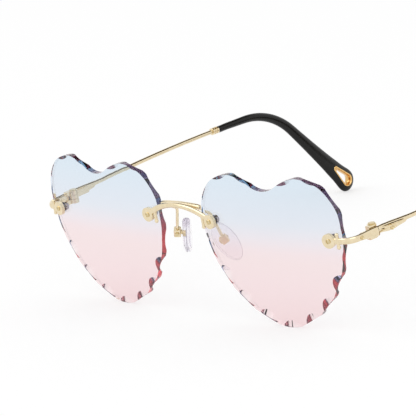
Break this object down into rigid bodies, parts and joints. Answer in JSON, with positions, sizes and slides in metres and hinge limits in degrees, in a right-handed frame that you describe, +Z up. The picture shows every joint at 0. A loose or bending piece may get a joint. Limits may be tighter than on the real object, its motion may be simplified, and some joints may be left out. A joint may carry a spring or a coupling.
{
  "type": "heart shaped sunglasses",
  "caption": "Rimless sunglasses with scalloped heart lenses, gold bridge and hinged temples, rocking nose pads and black tips with teardrop eyelets.",
  "frame": {"origin": "centre of the bounding box's floor, under the glasses as they stand open on a table", "axes": "+X to the wearer's left, +Y back along the temples, +Z up; the lenses face -Y"},
  "size_m": [0.17, 0.1612, 0.0515],
  "materials": {
    "lens": "clear tint that runs from pale blue at the top to pale pink at the bottom, polished facets",
    "gold": "polished pale gold plating",
    "screw": "plated screws and nuts",
    "clear_plastic": "clear nylon sleeves and washers",
    "nose_pad": "clear soft silicone",
    "acetate": "satin black acetate"
  },
  "bodies": {
    "front": {"bridge": "gold", "lens_screws": "screw", "lens_nuts": "screw", "lens_washers": "clear_plastic", "lens_sleeves": "clear_plastic", "lens_left": "lens", "lens_right": "lens", "endpiece_left": "gold", "endpiece_right": "gold", "front_hinge_left": "gold", "front_hinge_right": "gold", "hinge_screw_left": "screw", "hinge_screw_right": "screw", "pad_arm_left": "gold", "pad_arm_right": "gold", "pad_box_left": "gold", "pad_box_right": "gold", "pad_screw_left": "screw", "pad_screw_right": "screw"},
    "temple_left": {"temple_left": "gold", "temple_hinge_left": "gold", "ferrule_left": "gold", "temple_tip_left": "acetate", "eyelet_left": "gold"},
    "nose_pad_left": {"nose_pad_left": "nose_pad", "pad_tab_left": "screw"},
    "temple_right": {"temple_right": "gold", "temple_hinge_right": "gold", "ferrule_right": "gold", "temple_tip_right": "acetate", "eyelet_right": "gold"},
    "nose_pad_right": {"nose_pad_right": "nose_pad", "pad_tab_right": "screw"}
  },
  "joints": [
    {"name": "temple_fold_left", "type": "hinge", "parent": "front", "child": "temple_left", "pos_m": [0.07225, -0.06212, 0.03239], "axis": [0, -0.0823, 0.9966], "range_deg": [0, 92]},
    {"name": "temple_fold_right", "type": "hinge", "parent": "front", "child": "temple_right", "pos_m": [-0.07225, -0.06212, 0.03239], "axis": [0, 0.0823, -0.9966], "range_deg": [0, 88]},
    {"name": "pad_rock_left", "type": "hinge", "parent": "front", "child": "nose_pad_left", "pos_m": [0.012, -0.07022, 0.02661], "axis": [0.5525, 0.6729, 0.4918], "range_deg": [-10, 10]},
    {"name": "pad_rock_right", "type": "hinge", "parent": "front", "child": "nose_pad_right", "pos_m": [-0.012, -0.07022, 0.02661], "axis": [0.5525, -0.6729, -0.4918], "range_deg": [-10, 10]}
  ]
}
